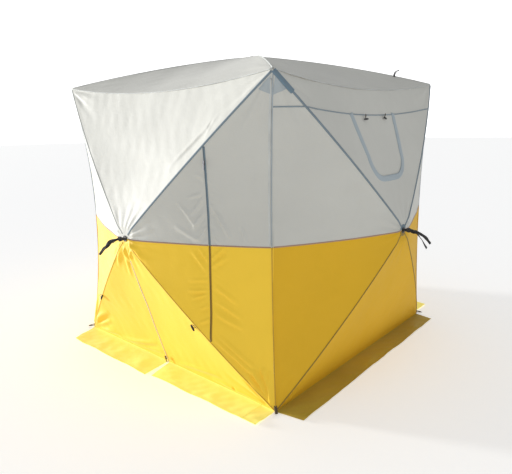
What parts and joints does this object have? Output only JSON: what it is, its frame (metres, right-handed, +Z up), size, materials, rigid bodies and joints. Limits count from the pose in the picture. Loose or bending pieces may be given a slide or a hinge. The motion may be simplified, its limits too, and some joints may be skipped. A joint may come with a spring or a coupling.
{
  "type": "ice fishing shelter",
  "caption": "Pop-up cube shelter: cloth panels held out by hubs and bent rods, zipped doors, a covered window and a snow skirt.",
  "frame": {"origin": "on the ground, under the middle of the cabin", "axes": "+Z up, -Y out of the wall with the two doors, +X out of the wall with the window"},
  "size_m": [2.6108, 2.6108, 1.969],
  "materials": {
    "upper_cloth": "satin",
    "wall_cloth": "satin",
    "lower_cloth": "satin",
    "skirt_cloth": "satin",
    "webbing": "matte",
    "tape": "matte",
    "fibreglass": "satin",
    "nylon": "matte",
    "zinc": "satin",
    "clear_pvc": "gloss"
  },
  "bodies": {
    "root": {"corner_top_front_right": "nylon", "corner_top_front_left": "nylon", "corner_top_back_right": "nylon", "corner_top_back_left": "nylon", "corner_bottom_front_right": "nylon", "corner_bottom_front_left": "nylon", "corner_bottom_back_right": "nylon", "corner_bottom_back_left": "nylon", "wall_front": "wall_cloth", "wall_right": "wall_cloth", "wall_back": "wall_cloth", "wall_left": "wall_cloth", "roof_cloth": "upper_cloth", "skirt_right": "skirt_cloth", "skirt_back": "skirt_cloth", "skirt_left": "skirt_cloth", "roof_tie_loop": "webbing"},
    "hub_front": {"hub_front": "nylon"},
    "rod_front_top_front_right": {"rod_front_top_front_right": "fibreglass"},
    "rod_front_top_front_left": {"rod_front_top_front_left": "fibreglass"},
    "rod_front_bottom_front_left": {"rod_front_bottom_front_left": "fibreglass"},
    "rod_front_bottom_front_right": {"rod_front_bottom_front_right": "fibreglass"},
    "hub_right": {"hub_right": "nylon"},
    "rod_right_top_back_right": {"rod_right_top_back_right": "fibreglass"},
    "rod_right_top_front_right": {"rod_right_top_front_right": "fibreglass"},
    "rod_right_bottom_front_right": {"rod_right_bottom_front_right": "fibreglass"},
    "rod_right_bottom_back_right": {"rod_right_bottom_back_right": "fibreglass"},
    "hub_back": {"hub_back": "nylon"},
    "rod_back_top_back_left": {"rod_back_top_back_left": "fibreglass"},
    "rod_back_top_back_right": {"rod_back_top_back_right": "fibreglass"},
    "rod_back_bottom_back_right": {"rod_back_bottom_back_right": "fibreglass"},
    "rod_back_bottom_back_left": {"rod_back_bottom_back_left": "fibreglass"},
    "hub_left": {"hub_left": "nylon"},
    "rod_left_top_front_left": {"rod_left_top_front_left": "fibreglass"},
    "rod_left_top_back_left": {"rod_left_top_back_left": "fibreglass"},
    "rod_left_bottom_back_left": {"rod_left_bottom_back_left": "fibreglass"},
    "rod_left_bottom_front_left": {"rod_left_bottom_front_left": "fibreglass"},
    "hub_roof": {"hub_roof": "nylon"},
    "rod_roof_top_back_right": {"rod_roof_top_back_right": "fibreglass"},
    "rod_roof_top_back_left": {"rod_roof_top_back_left": "fibreglass"},
    "rod_roof_top_front_left": {"rod_roof_top_front_left": "fibreglass"},
    "rod_roof_top_front_right": {"rod_roof_top_front_right": "fibreglass"},
    "pull_strap_front": {"pull_strap_front": "webbing"},
    "pull_strap_right": {"pull_strap_right": "webbing"},
    "pull_strap_back": {"pull_strap_back": "webbing"},
    "pull_strap_left": {"pull_strap_left": "webbing"},
    "side_door_edge": {"side_door_binding": "wall_cloth"},
    "lower_door_edge": {"lower_door_binding": "lower_cloth"},
    "window_edge": {"window_band": "tape", "window_pane": "clear_pvc"},
    "side_door": {"side_door_flap": "wall_cloth", "side_zip": "tape"},
    "side_zip_slider": {"side_zip_slider": "zinc"},
    "lower_door_left": {"lower_flap_left": "lower_cloth", "skirt_front_left": "skirt_cloth"},
    "lower_door_right": {"lower_flap_right": "lower_cloth", "skirt_front_right": "skirt_cloth", "lower_zip": "tape"},
    "lower_zip_slider": {"lower_zip_slider": "zinc"},
    "window_cover": {"window_flap": "upper_cloth"}
  },
  "joints": [
    {"name": "front_hub_pop", "type": "slide", "parent": "root", "child": "hub_front", "axis": [0, -1, 0], "range_m": [-0.536, 0], "deforming": ["wall_front"]},
    {"name": "front_top_front_right_rod_pin", "type": "hinge", "parent": "root", "child": "rod_front_top_front_right", "pos_m": [0.84147, -0.87, 1.71196], "axis": [0.7009, 0, -0.7132], "range_deg": [0, 26.59]},
    {"name": "front_top_front_left_rod_pin", "type": "hinge", "parent": "root", "child": "rod_front_top_front_left", "pos_m": [-0.84147, -0.87, 1.71196], "axis": [0.7009, 0, 0.7132], "range_deg": [0, 26.59]},
    {"name": "front_bottom_front_left_rod_pin", "type": "hinge", "parent": "root", "child": "rod_front_bottom_front_left", "pos_m": [-0.84147, -0.87, 0.05804], "axis": [-0.7009, 0, 0.7132], "range_deg": [0, 26.59]},
    {"name": "front_bottom_front_right_rod_pin", "type": "hinge", "parent": "root", "child": "rod_front_bottom_front_right", "pos_m": [0.84147, -0.87, 0.05804], "axis": [-0.7009, 0, -0.7132], "range_deg": [0, 26.59]},
    {"name": "right_hub_pop", "type": "slide", "parent": "root", "child": "hub_right", "axis": [1, 0, 0], "range_m": [-0.536, 0], "deforming": ["wall_right"]},
    {"name": "right_top_back_right_rod_pin", "type": "hinge", "parent": "root", "child": "rod_right_top_back_right", "pos_m": [0.87, 0.84147, 1.71196], "axis": [0, 0.7009, -0.7132], "range_deg": [0, 26.59]},
    {"name": "right_top_front_right_rod_pin", "type": "hinge", "parent": "root", "child": "rod_right_top_front_right", "pos_m": [0.87, -0.84147, 1.71196], "axis": [0, 0.7009, 0.7132], "range_deg": [0, 26.59]},
    {"name": "right_bottom_front_right_rod_pin", "type": "hinge", "parent": "root", "child": "rod_right_bottom_front_right", "pos_m": [0.87, -0.84147, 0.05804], "axis": [0, -0.7009, 0.7132], "range_deg": [0, 26.59]},
    {"name": "right_bottom_back_right_rod_pin", "type": "hinge", "parent": "root", "child": "rod_right_bottom_back_right", "pos_m": [0.87, 0.84147, 0.05804], "axis": [0, -0.7009, -0.7132], "range_deg": [0, 26.59]},
    {"name": "back_hub_pop", "type": "slide", "parent": "root", "child": "hub_back", "axis": [0, 1, 0], "range_m": [-0.536, 0], "deforming": ["wall_back"]},
    {"name": "back_top_back_left_rod_pin", "type": "hinge", "parent": "root", "child": "rod_back_top_back_left", "pos_m": [-0.84147, 0.87, 1.71196], "axis": [-0.7009, 0, -0.7132], "range_deg": [0, 26.59]},
    {"name": "back_top_back_right_rod_pin", "type": "hinge", "parent": "root", "child": "rod_back_top_back_right", "pos_m": [0.84147, 0.87, 1.71196], "axis": [-0.7009, 0, 0.7132], "range_deg": [0, 26.59]},
    {"name": "back_bottom_back_right_rod_pin", "type": "hinge", "parent": "root", "child": "rod_back_bottom_back_right", "pos_m": [0.84147, 0.87, 0.05804], "axis": [0.7009, 0, 0.7132], "range_deg": [0, 26.59]},
    {"name": "back_bottom_back_left_rod_pin", "type": "hinge", "parent": "root", "child": "rod_back_bottom_back_left", "pos_m": [-0.84147, 0.87, 0.05804], "axis": [0.7009, 0, -0.7132], "range_deg": [0, 26.59]},
    {"name": "left_hub_pop", "type": "slide", "parent": "root", "child": "hub_left", "axis": [-1, 0, 0], "range_m": [-0.536, 0], "deforming": ["wall_left"]},
    {"name": "left_top_front_left_rod_pin", "type": "hinge", "parent": "root", "child": "rod_left_top_front_left", "pos_m": [-0.87, -0.84147, 1.71196], "axis": [0, -0.7009, -0.7132], "range_deg": [0, 26.59]},
    {"name": "left_top_back_left_rod_pin", "type": "hinge", "parent": "root", "child": "rod_left_top_back_left", "pos_m": [-0.87, 0.84147, 1.71196], "axis": [0, -0.7009, 0.7132], "range_deg": [0, 26.59]},
    {"name": "left_bottom_back_left_rod_pin", "type": "hinge", "parent": "root", "child": "rod_left_bottom_back_left", "pos_m": [-0.87, 0.84147, 0.05804], "axis": [0, 0.7009, 0.7132], "range_deg": [0, 26.59]},
    {"name": "left_bottom_front_left_rod_pin", "type": "hinge", "parent": "root", "child": "rod_left_bottom_front_left", "pos_m": [-0.87, -0.84147, 0.05804], "axis": [0, 0.7009, -0.7132], "range_deg": [0, 26.59]},
    {"name": "roof_hub_pop", "type": "slide", "parent": "root", "child": "hub_roof", "axis": [0, 0, 1], "range_m": [-0.406, 0], "deforming": ["roof_cloth"]},
    {"name": "roof_top_back_right_rod_pin", "type": "hinge", "parent": "root", "child": "rod_roof_top_back_right", "pos_m": [0.84172, 0.84172, 1.74], "axis": [0.7071, -0.7071, 0], "range_deg": [0, 20.11]},
    {"name": "roof_top_back_left_rod_pin", "type": "hinge", "parent": "root", "child": "rod_roof_top_back_left", "pos_m": [-0.84172, 0.84172, 1.74], "axis": [0.7071, 0.7071, 0], "range_deg": [0, 20.11]},
    {"name": "roof_top_front_left_rod_pin", "type": "hinge", "parent": "root", "child": "rod_roof_top_front_left", "pos_m": [-0.84172, -0.84172, 1.74], "axis": [-0.7071, 0.7071, 0], "range_deg": [0, 20.11]},
    {"name": "roof_top_front_right_rod_pin", "type": "hinge", "parent": "root", "child": "rod_roof_top_front_right", "pos_m": [0.84172, -0.84172, 1.74], "axis": [-0.7071, -0.7071, 0], "range_deg": [0, 20.11]},
    {"name": "front_strap_swing", "type": "hinge", "parent": "hub_front", "child": "pull_strap_front", "pos_m": [0, -1.171, 0.885], "axis": [-1, 0, 0], "range_deg": [-25, 60]},
    {"name": "right_strap_swing", "type": "hinge", "parent": "hub_right", "child": "pull_strap_right", "pos_m": [1.171, 0, 0.885], "axis": [0, -1, 0], "range_deg": [-25, 60]},
    {"name": "back_strap_swing", "type": "hinge", "parent": "hub_back", "child": "pull_strap_back", "pos_m": [0, 1.171, 0.885], "axis": [1, 0, 0], "range_deg": [-25, 60]},
    {"name": "left_strap_swing", "type": "hinge", "parent": "hub_left", "child": "pull_strap_left", "pos_m": [-1.171, 0, 0.885], "axis": [0, 1, 0], "range_deg": [-25, 60]},
    {"name": "side_door_edge_follow", "type": "hinge", "parent": "root", "child": "side_door_edge", "pos_m": [0.9, -0.9, 0.885], "axis": [0, 0, 1], "range_deg": [-33.26, 0]},
    {"name": "lower_door_edge_follow", "type": "hinge", "parent": "root", "child": "lower_door_edge", "pos_m": [0, -0.9, 0], "axis": [1, 0, 0], "range_deg": [-33.8, 0]},
    {"name": "window_edge_follow", "type": "hinge", "parent": "root", "child": "window_edge", "pos_m": [0.9, 0, 1.77], "axis": [0, -1, 0], "range_deg": [-33.8, 0]},
    {"name": "side_door_swing", "type": "hinge", "parent": "side_door_edge", "child": "side_door", "pos_m": [0.8, -0.92891, 0.885], "axis": [0, 0, 1], "range_deg": [0, 120]},
    {"name": "side_zip_slide", "type": "slide", "parent": "side_door", "child": "side_zip_slider", "axis": [0, 0, -1], "range_m": [0, 0.894]},
    {"name": "lower_door_left_swing", "type": "hinge", "parent": "lower_door_edge", "child": "lower_door_left", "pos_m": [-0.8, -0.91594, 0.004], "axis": [-0.7131, 0.2141, -0.6675], "range_deg": [0, 85]},
    {"name": "lower_door_right_swing", "type": "hinge", "parent": "lower_door_edge", "child": "lower_door_right", "pos_m": [0.8, -0.9147, 0.004], "axis": [-0.7131, -0.2141, 0.6675], "range_deg": [0, 85]},
    {"name": "lower_zip_slide", "type": "slide", "parent": "lower_door_right", "child": "lower_zip_slider", "axis": [0, -0.3055, 0.9522], "range_m": [0, 0.651]},
    {"name": "window_cover_swing", "type": "hinge", "parent": "window_edge", "child": "window_cover", "pos_m": [0.95596, 0, 1.568], "axis": [0, -1, 0], "range_deg": [0, 150]}
  ],
  "couplings": [
    {"joint": "front_top_front_right_rod_pin", "follows": "front_hub_pop", "rad_per_m": -0.86535},
    {"joint": "front_top_front_left_rod_pin", "follows": "front_hub_pop", "rad_per_m": -0.86535},
    {"joint": "front_bottom_front_left_rod_pin", "follows": "front_hub_pop", "rad_per_m": -0.86535},
    {"joint": "front_bottom_front_right_rod_pin", "follows": "front_hub_pop", "rad_per_m": -0.86535},
    {"joint": "right_top_back_right_rod_pin", "follows": "right_hub_pop", "rad_per_m": -0.86535},
    {"joint": "right_top_front_right_rod_pin", "follows": "right_hub_pop", "rad_per_m": -0.86535},
    {"joint": "right_bottom_front_right_rod_pin", "follows": "right_hub_pop", "rad_per_m": -0.86535},
    {"joint": "right_bottom_back_right_rod_pin", "follows": "right_hub_pop", "rad_per_m": -0.86535},
    {"joint": "back_top_back_left_rod_pin", "follows": "back_hub_pop", "rad_per_m": -0.86535},
    {"joint": "back_top_back_right_rod_pin", "follows": "back_hub_pop", "rad_per_m": -0.86535},
    {"joint": "back_bottom_back_right_rod_pin", "follows": "back_hub_pop", "rad_per_m": -0.86535},
    {"joint": "back_bottom_back_left_rod_pin", "follows": "back_hub_pop", "rad_per_m": -0.86535},
    {"joint": "left_top_front_left_rod_pin", "follows": "left_hub_pop", "rad_per_m": -0.86535},
    {"joint": "left_top_back_left_rod_pin", "follows": "left_hub_pop", "rad_per_m": -0.86535},
    {"joint": "left_bottom_back_left_rod_pin", "follows": "left_hub_pop", "rad_per_m": -0.86535},
    {"joint": "left_bottom_front_left_rod_pin", "follows": "left_hub_pop", "rad_per_m": -0.86535},
    {"joint": "roof_top_back_right_rod_pin", "follows": "roof_hub_pop", "rad_per_m": -0.86411},
    {"joint": "roof_top_back_left_rod_pin", "follows": "roof_hub_pop", "rad_per_m": -0.86411},
    {"joint": "roof_top_front_left_rod_pin", "follows": "roof_hub_pop", "rad_per_m": -0.86411},
    {"joint": "roof_top_front_right_rod_pin", "follows": "roof_hub_pop", "rad_per_m": -0.86411},
    {"joint": "side_door_edge_follow", "follows": "front_hub_pop", "rad_per_m": 1.0826},
    {"joint": "lower_door_edge_follow", "follows": "front_hub_pop", "rad_per_m": 1.1},
    {"joint": "window_edge_follow", "follows": "right_hub_pop", "rad_per_m": 1.1}
  ]
}
